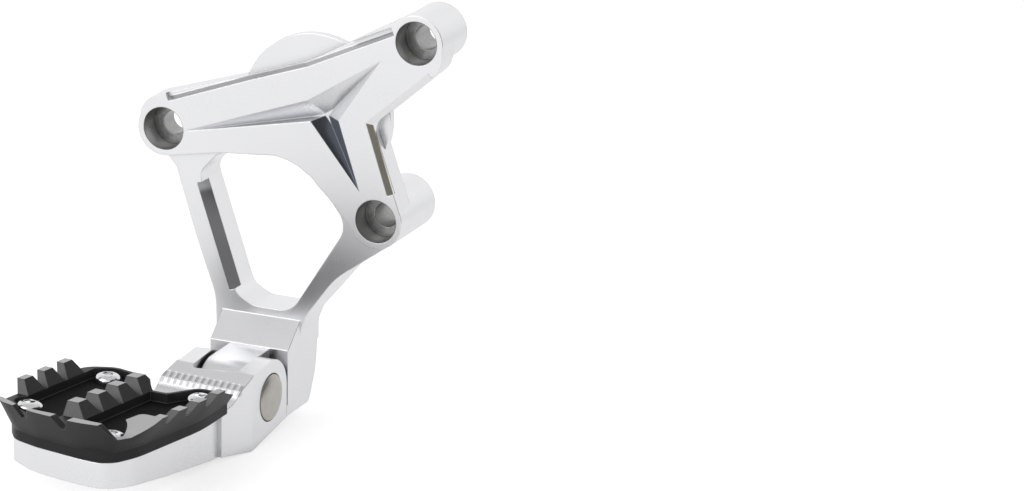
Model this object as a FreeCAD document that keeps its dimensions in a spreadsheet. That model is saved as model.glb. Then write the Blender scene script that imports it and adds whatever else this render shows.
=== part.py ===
import FreeCAD, Part
import math
import os

import Sketcher
from FreeCAD import Placement, Rotation, Vector

# A folding motorcycle footpeg on its milled mounting bracket, in millimetres.
# +X points outboard, +Y to the front of the motorcycle, where the pin head is, and +Z up.
# Each piece is drawn about the hinge pin's axis, from the outer face of the front ear.
# Then all of them move, so that the origin lies where the lower bolt meets the motorcycle.

doc = FreeCAD.newDocument("Footpeg")
sheet = doc.addObject("Spreadsheet::Sheet", "Sizes")

# Every driving dimension, as (alias, value, what it is).
DIMENSIONS = [
    ("bolt_hole_radius", 4.25, "clearance hole for an M8 bolt"),
    ("counterbore_radius", 7.5, "seat for an M8 cap screw head"),
    ("counterbore_depth", 8.6, "depth of that seat below the spoke's face"),
    ("boss_radius", 9.6, "outer radius of the spoke's ends and of the spacers"),
    ("rear_bore_y", -51.4, "rear bolt, along the motorcycle"),
    ("rear_bore_z", 82.5, "rear bolt, height over the hinge pin"),
    ("upper_bore_y", 42.7, "upper bolt, along the motorcycle"),
    ("upper_bore_z", 124.6, "upper bolt, height over the hinge pin"),
    ("lower_bore_y", 28.6, "lower bolt, along the motorcycle"),
    ("lower_bore_z", 60.5, "lower bolt, height over the hinge pin"),
    ("spoke_face_x", -21.2, "outboard face of the spoke"),
    ("spoke_depth", 9.5, "thickness of the spoke"),
    ("upper_spacer_back_x", -41.6, "where the upper spacer meets the motorcycle"),
    ("lower_spacer_back_x", -49.0, "where the lower spacer meets the motorcycle"),
    ("top_bevel_width", 1.5, "bevel along the spoke's top, in its face"),
    ("top_bevel_depth", 1.5, "that bevel, below the face"),
    ("front_bevel_width", 2.0, "bevel along the spoke's front side, in its face"),
    ("front_bevel_depth", 1.3, "that bevel, below the face"),
    ("window_bevel_width", 2.0, "bevel beside the window, in the frame's face"),
    ("window_bevel_depth", 5.0, "that bevel, below the face"),
    ("disc_y", 4.2, "disc centre, along the motorcycle"),
    ("disc_z", 94.5, "disc centre, height over the hinge pin"),
    ("disc_radius", 27.5, "heel disc behind the spoke"),
    ("disc_face_x", -25.6, "outboard face of the disc"),
    ("disc_depth", 3.0, "thickness of the disc"),
    ("star_depth", 4.6, "depth of the three-pointed pocket in the spoke"),
    ("frame_face_x", -22.8, "outboard face of the window frame"),
    ("frame_back_x", -37.5, "inboard face of the window frame"),
    ("shoulder_x", -13.3, "face of the hinge shoulders"),
    ("shoulder_top_z", 12.5, "top edge of the hinge shoulders"),
    ("shoulder_bottom_z", -10.8, "bottom of the hinge block"),
    ("hinge_rise", 8.0, "how far the block slopes up from its shoulders to the frame"),
    ("stop_land_height", 4.0, "height of the stop land at the foot of the shoulders"),
    ("stop_gap", 0.2, "gap between the ears and the stop land"),
    ("hinge_width", 29.5, "over both ears"),
    ("front_ear_width", 6.5, "front ear"),
    ("rear_ear_width", 6.0, "rear ear"),
    ("tongue_radius", 11.8, "rounded end of the tongue"),
    ("slot_end_gap", 1.0, "gap past the end of the tongue"),
    ("slot_corner_radius", 1.5, "corners of the slot between the ears"),
    ("ear_radius", 12.5, "rounded inboard end of the ears"),
    ("ear_top_z", 13.0, "top of the ears"),
    ("ear_bottom_z", -11.0, "bottom of the ears at their inboard end"),
    ("ear_front_x", 14.3, "outboard edge of the ears' flat faces"),
    ("ear_front_drop", 0.9, "fall of the ears' tops towards that edge"),
    ("body_low_x", 14.8, "lowest edge of the peg body"),
    ("body_low_z", -14.8, "height of that edge"),
    ("body_rise", 0.122, "rise of the underside per millimetre outboard"),
    ("platform_z", 3.3, "flat seat of the tread plate"),
    ("ridge_x", 17.8, "crest of the serrated strip"),
    ("ridge_z", 10.2, "height of the crest"),
    ("strip_foot_x", 21.2, "foot of the serrated strip"),
    ("strip_foot_z", 8.1, "height of that foot"),
    ("waist_radius", 9.0, "hollow between the strip and the tread's seat"),
    ("pin_radius", 4.0, "shank of the hinge pin"),
    ("pin_head_radius", 8.05, "head of the hinge pin"),
    ("pin_head_depth", 3.0, "thickness of that head"),
    ("pin_head_bevel", 0.3, "bevel of its edge"),
    ("pin_head_proud", 0.3, "how far the head stands out of the ear"),
    ("pin_tail", 0.8, "pin past the retaining ring"),
    ("pin_clearance", 0.05, "running gap between pin and bushes"),
    ("head_clearance", 0.35, "gap round the pin head"),
    ("bush_wall", 1.0, "wall of the bushes"),
    ("bush_gap", 3.0, "space between the two bushes"),
    ("bush_flange_radius", 6.6, "flange of the bushes"),
    ("bush_flange_depth", 0.9, "thickness of that flange"),
    ("side_clearance", 0.1, "running gap between flanges and ears"),
    ("spring_wire_radius", 0.7, "square wire of the return spring, halved"),
    ("spring_coil_radius", 8.25, "mean radius of its coil"),
    ("spring_turns", 1.5, "turns of its coil"),
    ("spring_pitch", 1.75, "pitch of its coil"),
    ("spring_gap", 0.5, "room round the spring"),
    ("spring_leg_radius", 0.6, "wire of its two ends, drawn round"),
    ("spring_leg", 3.0, "reach of its two ends into the ear and the tongue"),
    ("leg_clearance", 0.15, "gap round those ends"),
    ("clip_groove_depth", 0.6, "groove for the retaining ring"),
    ("clip_depth", 1.0, "thickness of the retaining ring"),
    ("clip_ring_width", 2.2, "radial width of the retaining ring"),
    ("clip_mouth", 4.8, "opening of that ring, at the washer's rim"),
    ("washer_depth", 1.2, "thickness of the pin's washer"),
    ("washer_radius", 8.0, "outer radius of that washer"),
    ("sweep", -4.8, "angle of the tread, swept back"),
    ("tread_tilt", 3.5, "angle of the tooth tops, rising outboard"),
    ("tooth_top", 13.0, "tooth tops, over the pin in the tread's own frame"),
    ("tread_floor", 8.5, "floor between the teeth of a row, likewise"),
    ("wall_band", 3.5, "upright band at the foot of the tread's wall"),
    ("tooth_pitch", 12.05, "pitch of the teeth"),
    ("tooth_length", 5.2, "tooth at its top, along the tread"),
    ("tooth_slope", 2.65, "spread of each flank down to the floor"),
    ("tooth_first", 40.2, "start of the first tooth"),
    ("screw_hole_radius", 2.75, "clearance hole for an M5 screw"),
    ("screw_tap_radius", 2.1, "threaded hole for an M5 screw"),
    ("screw_head_radius", 4.75, "button head of an M5 screw"),
    ("screw_head_height", 2.75, "height of that head"),
    ("screw_crown_radius", 2.75, "flat on top of that head"),
    ("screw_side_height", 1.1, "upright side of that head"),
    ("screw_shank_radius", 2.1, "shank of the screw in its thread"),
    ("screw_length", 12.0, "length under the head"),
    ("screw_hole_spare", 2.0, "thread hole past the screw's end"),
    ("screw_socket_radius", 1.75, "hexagon socket, across corners, halved"),
    ("screw_socket_depth", 1.6, "depth of that socket"),
    ("screw_seat", 5.3, "seat of the screw heads and floor of the channels, likewise"),
    ("tip_seat", 4.4, "deeper seat of the front tip screw"),
    ("seat_radius", 5.0, "round pocket for a screw head"),
    ("tip_ramp_start", 80.0, "where the front row slopes down to the tip, along the tread"),
    ("tip_ramp_end", 88.0, "foot of that slope"),
    ("tip_ramp_floor", 7.0, "height of that foot"),
    ("scallops", 13, "notches of the serrated strip"),
    ("scallop_first_y", -1.8, "the first notch, behind the front ear's face"),
    ("scallop_pitch", 2.5, "pitch of those notches"),
    ("scallop_radius", 1.0, "radius of those notches"),
]


class Size:
    """A number from the sheet, or worked out from it, with the expression that ties it there."""

    def __init__(self, value, text):
        self.value = value
        self.text = text

    def joined(self, other, sign, value):
        return Size(value, "(%s %s %s)" % (self.text, sign, as_size(other).text))

    def __add__(self, other):
        return self.joined(other, "+", self.value + as_size(other).value)

    def __sub__(self, other):
        return self.joined(other, "-", self.value - as_size(other).value)

    def __mul__(self, other):
        return self.joined(other, "*", self.value * as_size(other).value)

    def __truediv__(self, other):
        return self.joined(other, "/", self.value / as_size(other).value)

    def __radd__(self, other):
        return as_size(other) + self

    def __rsub__(self, other):
        return as_size(other) - self

    def __rmul__(self, other):
        return as_size(other) * self

    def __neg__(self):
        return as_size(0) - self


def as_size(number):
    """A plain number as a Size of its own."""
    if isinstance(number, Size):
        return number
    return Size(float(number), "(%r)" % float(number))


def fill_sheet():
    """Writes the driving dimensions into the sheet and returns them by name."""
    sizes = {}
    for row, (alias, value, meaning) in enumerate(DIMENSIONS, start=1):
        sheet.set("A%d" % row, meaning)
        sheet.set("B%d" % row, str(value))
        sheet.setAlias("B%d" % row, alias)
        sizes[alias] = Size(float(value), "Sizes." + alias)
    doc.recompute()
    return sizes


S = fill_sheet()


def tie(thing, path, size):
    """Sets a property from a size, and ties it to the sheet."""
    size = as_size(size)
    thing.setExpression(path, size.text)


def new_body(label):
    """A body of its own, whose label names its file."""
    body = doc.addObject("PartDesign::Body", label)
    body.Label = label
    return body


def sketch_on(body, role, name, offset=None, turn=None):
    """A sketch on one of the body's own planes, moved along its normal, or turned by a placement."""
    sketch = body.newObject("Sketcher::SketchObject", name)
    plane = [feature for feature in body.Origin.OriginFeatures if feature.Role == role][0]
    sketch.AttachmentSupport = [(plane, "")]
    sketch.MapMode = "FlatFace"
    if turn is not None:
        sketch.AttachmentOffset = turn
    if offset is not None:
        tie(sketch, ".AttachmentOffset.Base.z", offset)
    return sketch


def constrain(sketch, constraints):
    """Adds constraints, each a list that ends in a size where it has one, and ties the sizes."""
    sized = []
    made = []
    for parts in constraints:
        last = parts[-1]
        if isinstance(last, Size):
            sized.append((len(made), last))
            parts = parts[:-1] + [last.value]
        made.append(Sketcher.Constraint(*parts))
    first = len(sketch.Constraints)
    sketch.addConstraint(made)
    for index, size in sized:
        if "Sizes." in size.text:
            sketch.setExpression("Constraints[%d]" % (first + index), size.text)


def circle(sketch, centre, radius):
    """A circle at a centre that is given from the sketch's origin."""
    across, up, radius = as_size(centre[0]), as_size(centre[1]), as_size(radius)
    place = Vector(across.value, up.value, 0)
    index = sketch.addGeometry(Part.Circle(place, Vector(0, 0, 1), radius.value), False)
    constrain(sketch, [
        ["DistanceX", -1, 1, index, 3, across],
        ["DistanceY", -1, 1, index, 3, up],
        ["Radius", index, radius],
    ])


def corner_round(before, corner, after, radius):
    """Where a round of this radius leaves the two lines at a corner, and its middle."""
    to_before = (before - corner).normalize()
    to_after = (after - corner).normalize()
    half = to_before.getAngle(to_after) / 2
    reach = radius / math.tan(half)
    centre = corner + (to_before + to_after).normalize() * (radius / math.sin(half))
    middle = centre + (corner - centre).normalize() * radius
    return corner + to_before * reach, middle, corner + to_after * reach


def outline(sketch, corners):
    """A closed outline through corners (across, up), with a third number where one is rounded."""
    corners = [[as_size(number) for number in corner] for corner in corners]
    points = [Vector(corner[0].value, corner[1].value, 0) for corner in corners]
    count = len(points)
    entries = []
    leaves = []
    rounds = []
    for i, corner in enumerate(corners):
        entry, middle, leave = points[i], None, points[i]
        if len(corner) > 2:
            following = points[(i + 1) % count]
            entry, middle, leave = corner_round(points[i - 1], points[i], following, corner[2].value)
        entries.append(entry)
        leaves.append(leave)
        rounds.append(middle)
    lines = [Part.LineSegment(leaves[i], entries[(i + 1) % count]) for i in range(count)]
    first = sketch.addGeometry(lines, False)[0]
    constraints = []
    for i, corner in enumerate(corners):
        line_in = first + (i - 1) % count
        line_out = first + i
        if rounds[i] is None:
            constraints.append(["Coincident", line_in, 2, line_out, 1])
            constraints.append(["DistanceX", -1, 1, line_out, 1, corner[0]])
            constraints.append(["DistanceY", -1, 1, line_out, 1, corner[1]])
            continue
        left_turn = (rounds[i] - entries[i]).cross(leaves[i] - rounds[i]).z > 0
        start, end = (entries[i], leaves[i]) if left_turn else (leaves[i], entries[i])
        entry_end, leave_end = (1, 2) if left_turn else (2, 1)
        arc = sketch.addGeometry(Part.Arc(start, rounds[i], end), False)
        point = sketch.addGeometry(Part.Point(points[i]), True)
        constraints.append(["DistanceX", -1, 1, point, 1, corner[0]])
        constraints.append(["DistanceY", -1, 1, point, 1, corner[1]])
        constraints.append(["PointOnObject", point, 1, line_in])
        constraints.append(["PointOnObject", point, 1, line_out])
        constraints.append(["Tangent", line_in, 2, arc, entry_end])
        constraints.append(["Tangent", line_out, 1, arc, leave_end])
        constraints.append(["Radius", arc, corner[2]])
    constrain(sketch, constraints)


def pad(body, sketch, length, name, backwards=False):
    """Adds the sketch's outline as a pad along its normal, or against it."""
    feature = body.newObject("PartDesign::Pad", name)
    feature.Profile = sketch
    feature.Reversed = backwards
    tie(feature, "Length", length)
    sketch.Visibility = False
    doc.recompute()
    return feature


def pocket(body, sketch, length, name, along_normal=False):
    """Cuts the sketch's outline out, against its normal or along it, and sees that it cut."""
    before = body.Tip.Shape.Volume
    feature = body.newObject("PartDesign::Pocket", name)
    feature.Profile = sketch
    feature.Reversed = along_normal
    tie(feature, "Length", length)
    doc.recompute()
    if not feature.Shape.Volume < before:
        raise RuntimeError(name + " cuts nothing")
    return feature


def loft(body, kind, sketches, name):
    """A ruled loft from sketch to sketch, added or cut."""
    feature = body.newObject(kind, name)
    feature.Profile = sketches[0]
    feature.Sections = sketches[1:]
    feature.Ruled = True
    doc.recompute()
    return feature


def beside_path(path, distance):
    """The points of an open path, moved this far to its left."""
    points = [Vector(across, up, 0) for across, up in path]
    ways = [(after - before).normalize() for before, after in zip(points, points[1:])]
    lefts = [Vector(-way.y, way.x, 0) for way in ways]
    moved = []
    for i, point in enumerate(points):
        before, after = lefts[max(i - 1, 0)], lefts[min(i, len(lefts) - 1)]
        mean = (before + after).normalize()
        moved.append(point + mean * (distance / mean.dot(before)))
    return [(point.x, point.y) for point in moved]


def bevel(body, name, path, face_x):
    """Cuts a long bevel beside an edge of a face: the material lies to the left of its path."""
    width = S[name + "_width"].value
    depth = S[name + "_depth"]
    clear = beside_path(path, -width)
    face = sketch_on(body, "YZ_Plane", name + "_outline", face_x)
    outline(face, beside_path(path, width) + clear[::-1])
    foot = sketch_on(body, "YZ_Plane", name + "_foot", face_x - depth)
    outline(foot, path + clear[::-1])
    loft(body, "PartDesign::SubtractiveLoft", [face, foot], name)


# How far the cuts reach past the pieces, on each side.
BEFORE = 20
ACROSS = 120
INBOARD_CLEAR = -40
OUTBOARD_CLEAR = 120
HIGH_CLEAR = 40
LOW_CLEAR = -60
THROUGH = 60

# The tongue's end is all but a half circle, and its root reaches into the hinge block.
TONGUE_ROUND = 0.98
TONGUE_ROOT = 2

BORES = {
    "rear": (S["rear_bore_y"], S["rear_bore_z"]),
    "upper": (S["upper_bore_y"], S["upper_bore_z"]),
    "lower": (S["lower_bore_y"], S["lower_bore_z"]),
}


SPACER_BACKS = {
    "rear": S["frame_back_x"],
    "upper": S["upper_spacer_back_x"],
    "lower": S["lower_spacer_back_x"],
}


def beside(bore, angle):
    """A point on a boss, at this angle from straight forward."""
    across, up = BORES[bore]
    return (
        across + S["boss_radius"] * math.cos(math.radians(angle)),
        up + S["boss_radius"] * math.sin(math.radians(angle)),
    )


def make_bracket():
    """The milled bracket: spoke, disc, spacers, window frame, hinge block and tongue."""
    body = new_body("bracket")
    rear_y, rear_z = BORES["rear"]
    lower_y, lower_z = BORES["lower"]

    spoke = sketch_on(body, "YZ_Plane", "spoke_outline", S["spoke_face_x"])
    outline(spoke, [
        (rear_y - 8.9, rear_z + S["boss_radius"], 9),
        (-20, 105.0, 80),
        (2, 112.7, 60),
        beside("upper", 118.8),
        beside("upper", -5),
        (51.8, 116.4, 8),
        (26.8, 94.0, 6),
        beside("lower", 26.6),
        beside("lower", 208),
        (12, 65.5, 14),
        (-3, 79.0, 20),
        (-30, 76.8, 40),
        (rear_y - 8.9, rear_z - 11.3, 9.3),
    ])
    pad(body, spoke, S["spoke_depth"], "spoke", True)

    for name, back in SPACER_BACKS.items():
        end = sketch_on(body, "YZ_Plane", name + "_spacer_outline", S["spoke_face_x"])
        circle(end, BORES[name], S["boss_radius"])
        pad(body, end, S["spoke_face_x"] - back, name + "_spacer", True)

    disc = sketch_on(body, "YZ_Plane", "disc_outline", S["disc_face_x"])
    circle(disc, (S["disc_y"], S["disc_z"]), S["disc_radius"])
    pad(body, disc, S["disc_depth"], "disc", True)

    frame = sketch_on(body, "YZ_Plane", "frame_outline", S["frame_face_x"])
    outline(frame, [
        (-53, 76),
        (-47.2, 69, 3),
        (-39.5, 45, 60),
        (-32.2, 25, 20),
        (-31.8, 13),
        (-S["hinge_width"], 10),
        (0, 10),
        (0, 17, 10),
        (2.5, 23, 15),
        (13, 37.5, 30),
        beside("lower", -62),
        (lower_y, lower_z),
        (2, 88),
        (rear_y, rear_z),
    ])
    pad(body, frame, S["frame_face_x"] - S["frame_back_x"], "frame", True)

    arm = sketch_on(body, "YZ_Plane", "arm_outline", S["frame_back_x"])
    outline(arm, [
        (0, 20),
        (2.5, 23),
        (13, 37.5, 30),
        beside("lower", -62),
        (lower_y, lower_z),
        (14, 62),
        (-9, 20),
    ])
    pad(body, arm, S["frame_back_x"] - S["lower_spacer_back_x"], "arm", True)
    behind = sketch_on(body, "XZ_Plane", "arm_back_outline", -lower_y)
    outline(behind, [
        (S["frame_back_x"], 20),
        (S["frame_back_x"] - 7, 31),
        (S["lower_spacer_back_x"], 50),
        (S["lower_spacer_back_x"], 20),
    ])
    pocket(body, behind, THROUGH, "arm_back", True)

    window = sketch_on(body, "YZ_Plane", "window_outline", S["spoke_face_x"])
    outline(window, [
        (-38.5, 68, 5),
        (-24.5, 26.8, 6),
        (-18, 23.2, 9),
        (-3.5, 23.2, 8),
        (17.5, 57, 8),
        (4.5, 73.0, 9),
        (-8, 78.8, 12),
        (-31, 76.3, 7),
    ])
    pocket(body, window, THROUGH, "window")
    bevel(body, "window_bevel", [(-25.0, 28.3), (-37.5, 65)], S["frame_face_x"])

    hinge = sketch_on(body, "XZ_Plane", "hinge_outline")
    outline(hinge, [
        (S["shoulder_x"], S["shoulder_top_z"]),
        (S["frame_face_x"], S["shoulder_top_z"] + S["hinge_rise"]),
        (S["frame_back_x"], S["shoulder_top_z"] + S["hinge_rise"]),
        (-35.5, 0, 20),
        (-30, S["shoulder_bottom_z"], 3),
        (-S["stop_gap"] - S["ear_radius"], S["shoulder_bottom_z"]),
        (-S["stop_gap"] - S["ear_radius"], S["shoulder_bottom_z"] + S["stop_land_height"]),
        (S["shoulder_x"], S["shoulder_bottom_z"] + S["stop_land_height"]),
    ])
    pad(body, hinge, S["hinge_width"], "hinge_block")

    tongue = sketch_on(body, "XZ_Plane", "tongue_outline", -tongue_front_y())
    end = S["tongue_radius"]
    corner = end * TONGUE_ROUND
    root = S["shoulder_x"] - TONGUE_ROOT
    outline(tongue, [(root, end), (end, end, corner), (end, -end, corner), (root, -end)])
    pad(body, tongue, tongue_width(), "tongue")

    bevel(body, "top_bevel", [(34, 127.6), (2, 112.7), (-20, 105.0), (-50, 93.8)], S["spoke_face_x"])
    bevel(body, "front_bevel", [(34.5, 70.7), (26.8, 94.0), (48.5, 113.4)], S["spoke_face_x"])

    star = sketch_on(body, "YZ_Plane", "star_outline", S["spoke_face_x"])
    outline(star, STAR_CORNERS)
    floor = sketch_on(body, "YZ_Plane", "star_floor", S["spoke_face_x"] - S["star_depth"])
    outline(floor, [star_floor_corner(corner) for corner in STAR_CORNERS])
    loft(body, "PartDesign::SubtractiveLoft", [star, floor], "star_pocket")

    seats = sketch_on(body, "YZ_Plane", "counterbore_outline", S["spoke_face_x"])
    holes = sketch_on(body, "YZ_Plane", "bolt_hole_outline", S["spoke_face_x"])
    for centre in BORES.values():
        circle(seats, centre, S["counterbore_radius"])
        circle(holes, centre, S["bolt_hole_radius"])
    pocket(body, seats, S["counterbore_depth"], "counterbores")
    pocket(body, holes, THROUGH, "bolt_holes")

    pin_bore = sketch_on(body, "XZ_Plane", "bush_bore_outline")
    circle(pin_bore, (0, 0), S["pin_radius"] + S["pin_clearance"] + S["bush_wall"])
    pocket(body, pin_bore, S["hinge_width"], "bush_bore", True)

    ring = sketch_on(body, "XZ_Plane", "spring_pocket_outline", -tongue_back_y())
    circle(ring, (0, 0), S["spring_coil_radius"] + S["spring_wire_radius"] + S["spring_gap"])
    circle(ring, (0, 0), S["spring_coil_radius"] - S["spring_wire_radius"] - S["spring_gap"])
    pocket(body, ring, spring_pocket_depth(), "spring_pocket")

    leg = sketch_on(body, "XZ_Plane", "leg_hole_outline", -tongue_back_y())
    circle(leg, (-S["spring_coil_radius"], 0), S["spring_wire_radius"] + S["leg_clearance"])
    pocket(body, leg, spring_pocket_depth() + S["spring_leg"], "leg_hole")
    return body


# The three-pointed pocket in the spoke's face: its tips, with the inner corners between them.
STAR_CORNERS = [
    (30, 117),
    (14.5, 94),
    (22.5, 70),
    (4, 92.5),
    (-44, 82.5),
    (3, 99.6),
]
STAR_CENTRE = (8, 94)
STAR_FLOOR_SHARE = 0.12


def star_floor_corner(corner):
    """The floor of the pocket is its outline drawn in towards the middle."""
    return tuple(
        middle + (number - middle) * STAR_FLOOR_SHARE
        for number, middle in zip(corner, STAR_CENTRE)
    )


def flange_room():
    """A bush's flange and its running gap."""
    return S["bush_flange_depth"] + S["side_clearance"]


def tongue_front_y():
    """The tongue's face beside the front ear."""
    return -S["front_ear_width"] - flange_room()


def tongue_back_y():
    """The tongue's face beside the rear ear."""
    return -S["hinge_width"] + S["rear_ear_width"] + flange_room()


def tongue_width():
    """What is left between the ears for the tongue."""
    return tongue_front_y() - tongue_back_y()


def bush_length():
    """Both bushes with the space between them fill the tongue."""
    return (tongue_width() - S["bush_gap"]) / 2


def spring_pocket_depth():
    """Room for the spring's coil, open at the tongue's rear face."""
    return S["spring_turns"] * S["spring_pitch"] + S["spring_wire_radius"] * 2 + S["spring_gap"]


def tread_frame(p=0, q=0, w=0):
    """The tread's own frame: swept back, and rising outboard."""
    swept = Rotation(S["sweep"].value, -S["tread_tilt"].value, 0)
    place = Placement(Vector(), swept)
    return place.multiply(Placement(Vector(p, q, w), Rotation()))


def swept_plane():
    """Turns a sketch on the XZ plane to run along the swept tread."""
    return Placement(Vector(), Rotation(Vector(0, 1, 0), S["sweep"].value))


# The screws, in the tread's own frame.
SCREWS = {
    "front_root": (35.7, -6.6),
    "rear_root": (33.0, -44.5),
    "front_tip": (87.0, -9.0),
    "rear_tip": (76.5, -47.8),
}

BLANK_TOP = 14
BLANK_DEEP = 40


def seat_of(name):
    """The seat of a screw's head: one of them lies deeper."""
    return S["tip_seat"] if name == "front_tip" else S["screw_seat"]


def make_peg_body():
    """The milled peg body: two ears, the serrated root and the tapered platform."""
    body = new_body("peg_body")

    root = sketch_on(body, "XY_Plane", "root_outline", BLANK_TOP)
    outline(root, [
        (-S["ear_radius"], 0),
        (S["ear_front_x"], 0),
        (28.5, -4.4),
        (28.5, -31.5),
        (22, -33.6),
        (16.5, -33.0),
        (S["washer_radius"] + 1.2, -S["hinge_width"]),
        (-S["ear_radius"], -S["hinge_width"]),
    ])
    pad(body, root, BLANK_DEEP, "root", True)

    turned = Placement(Vector(), Rotation(S["sweep"].value, 0, 0))
    platform = sketch_on(body, "XY_Plane", "platform_outline", S["platform_z"], turned)
    outline(platform, [
        (27, -3.6),
        (34, -2.6, 12),
        (60, -2.5, 200),
        (84, -4.0, 20),
        (92.3, -9, 6),
        (92, -20, 50),
        (87.5, -40, 30),
        (77.5, -54.0, 7),
        (30, -54.2, 8),
        (23, -45, 8),
        (24.5, -34, 6),
        (26, -31),
    ])
    pad(body, platform, BLANK_DEEP, "platform", True)

    top = sketch_on(body, "XZ_Plane", "top_outline", -BEFORE, swept_plane())
    outline(top, [
        (INBOARD_CLEAR, S["ear_top_z"]),
        (0, S["ear_top_z"]),
        (S["ear_front_x"] + 0.6, S["ear_top_z"] - S["ear_front_drop"]),
        (S["ridge_x"], S["ridge_z"]),
        (S["strip_foot_x"], S["strip_foot_z"]),
        (S["strip_foot_x"] + 4.6, S["platform_z"], S["waist_radius"]),
        (OUTBOARD_CLEAR, S["platform_z"]),
        (OUTBOARD_CLEAR, HIGH_CLEAR),
        (INBOARD_CLEAR, HIGH_CLEAR),
    ])
    pocket(body, top, ACROSS, "top_profile", True)

    low = sketch_on(body, "XZ_Plane", "underside_outline", -BEFORE)
    rise = S["body_rise"] * (OUTBOARD_CLEAR - S["body_low_x"])
    outline(low, [
        (INBOARD_CLEAR, S["ear_bottom_z"]),
        (-S["ear_radius"], S["ear_bottom_z"]),
        (S["body_low_x"], S["body_low_z"]),
        (OUTBOARD_CLEAR, S["body_low_z"] + rise),
        (OUTBOARD_CLEAR, LOW_CLEAR),
        (INBOARD_CLEAR, LOW_CLEAR),
    ])
    pocket(body, low, ACROSS, "underside", True)

    back = sketch_on(body, "XZ_Plane", "ear_back_outline", -BEFORE)
    outline(back, [
        (INBOARD_CLEAR, -10),
        (-S["ear_radius"], -10),
        (-S["ear_radius"], S["ear_top_z"], S["ear_radius"] - 0.1),
        (10, S["ear_top_z"]),
        (10, HIGH_CLEAR),
        (INBOARD_CLEAR, HIGH_CLEAR),
    ])
    pocket(body, back, ACROSS, "ear_back", True)

    slot = sketch_on(body, "XY_Plane", "slot_outline", BLANK_TOP)
    slot_end = S["tongue_radius"] + S["slot_end_gap"]
    outline(slot, [
        (INBOARD_CLEAR, -S["front_ear_width"]),
        (slot_end, -S["front_ear_width"], S["slot_corner_radius"]),
        (slot_end, -S["hinge_width"] + S["rear_ear_width"], S["slot_corner_radius"]),
        (INBOARD_CLEAR, -S["hinge_width"] + S["rear_ear_width"]),
    ])
    pocket(body, slot, BLANK_DEEP, "slot")

    bore = sketch_on(body, "XZ_Plane", "pin_bore_outline")
    circle(bore, (0, 0), S["pin_radius"] + S["pin_clearance"])
    pocket(body, bore, THROUGH, "pin_bore", True)

    recess = sketch_on(body, "XZ_Plane", "pin_recess_outline")
    circle(recess, (0, 0), S["pin_head_radius"] + S["head_clearance"])
    pocket(body, recess, S["pin_head_depth"] - S["pin_head_proud"], "pin_recess", True)

    leg = sketch_on(body, "XZ_Plane", "leg_hole_outline", S["hinge_width"] - S["rear_ear_width"])
    circle(leg, (S["spring_coil_radius"], 0), S["spring_wire_radius"] + S["leg_clearance"])
    pocket(body, leg, S["spring_leg"] + S["leg_clearance"], "leg_hole", True)

    add_scallops(body)

    seats = tread_frame(0, 0, S["screw_seat"].value)
    threads = sketch_on(body, "XY_Plane", "thread_outline", turn=seats)
    for place in SCREWS.values():
        circle(threads, place, S["screw_tap_radius"])
    pocket(body, threads, S["screw_length"] + S["screw_hole_spare"], "threads")
    return body


def add_scallops(body):
    """Round notches across the sloping strip at the root, all of one pitch."""
    run = S["strip_foot_x"].value - S["ridge_x"].value
    drop = S["ridge_z"].value - S["strip_foot_z"].value
    slope = math.degrees(math.atan2(drop, run))
    swept = Rotation(S["sweep"].value, 0, 0)
    crest = swept.multVec(Vector(S["ridge_x"].value, 0, S["ridge_z"].value))
    along = swept.multiply(Rotation(Vector(0, 1, 0), slope))
    notches = sketch_on(body, "XY_Plane", "scallop_outline")
    facing = along.multiply(Rotation(Vector(0, 0, 1), 90)).multiply(Rotation(Vector(1, 0, 0), 90))
    notches.AttachmentOffset = Placement(crest, facing)
    for number in range(int(S["scallops"].value)):
        circle(notches, (S["scallop_first_y"] - number * S["scallop_pitch"], 0), S["scallop_radius"])
    pocket(body, notches, math.hypot(run, drop), "scallops_cut", True)


# The tread plate's outline below its flare and at its tooth tops, in the tread's own frame.
TREAD_LOW = [
    (29.6, 0.6),
    (48, 1.9, 60),
    (81, -2.4, 30),
    (90.8, -6.5, 6),
    (91.7, -20, 40),
    (89.8, -36, 20),
    (87, -46.5, 10),
    (80, -52.4, 8),
    (31, -53.2, 8),
    (25.5, -46, 7),
    (28, -34, 6),
    (41.5, -22, 3),
    (41.5, -16, 3),
    (29.6, -10.5, 5),
]
TREAD_HIGH = [
    (29.6, 5.4),
    (48, 6.2, 60),
    (84, 6.0, 12),
    (98.5, -1.5, 7),
    (101.4, -14, 40),
    (99.6, -32, 30),
    (95.5, -47, 10),
    (84, -57.2, 8),
    (31, -57.2, 8),
    (25.5, -46, 7),
    (28, -34, 6),
    (41.5, -22, 3),
    (41.5, -16, 3),
    (29.6, -10.5, 5),
]

def make_tread_plate():
    """The black tread plate: a flared blank, cut to rows of teeth, with pockets for its screws."""
    body = new_body("tread_plate")
    body.Placement = tread_frame()

    level = Rotation(0, S["tread_tilt"].value, 0)
    band_top = S["platform_z"] + S["wall_band"]
    low = sketch_on(body, "XY_Plane", "low_outline")
    low.AttachmentOffset = Placement(level.multVec(Vector(0, 0, band_top.value)), level)
    outline(low, TREAD_LOW)
    high = sketch_on(body, "XY_Plane", "high_outline", S["tooth_top"])
    outline(high, TREAD_HIGH)
    pad(body, low, S["wall_band"], "band", True)
    loft(body, "PartDesign::AdditiveLoft", [low, high], "flare")

    cut_channels(body)
    cut_gullets(body)
    cut_rear_corner(body)
    cut_front_corner(body)

    for name in ("front_tip", "rear_tip"):
        well = sketch_on(body, "XY_Plane", name + "_seat_outline", seat_of(name))
        circle(well, SCREWS[name], S["seat_radius"])
        pocket(body, well, BLANK_TOP, name + "_seat", True)
    holes = sketch_on(body, "XY_Plane", "screw_hole_outline", S["screw_seat"] + 1)
    for place in SCREWS.values():
        circle(holes, place, S["screw_hole_radius"])
    pocket(body, holes, BLANK_TOP, "screw_holes")
    return body


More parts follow.
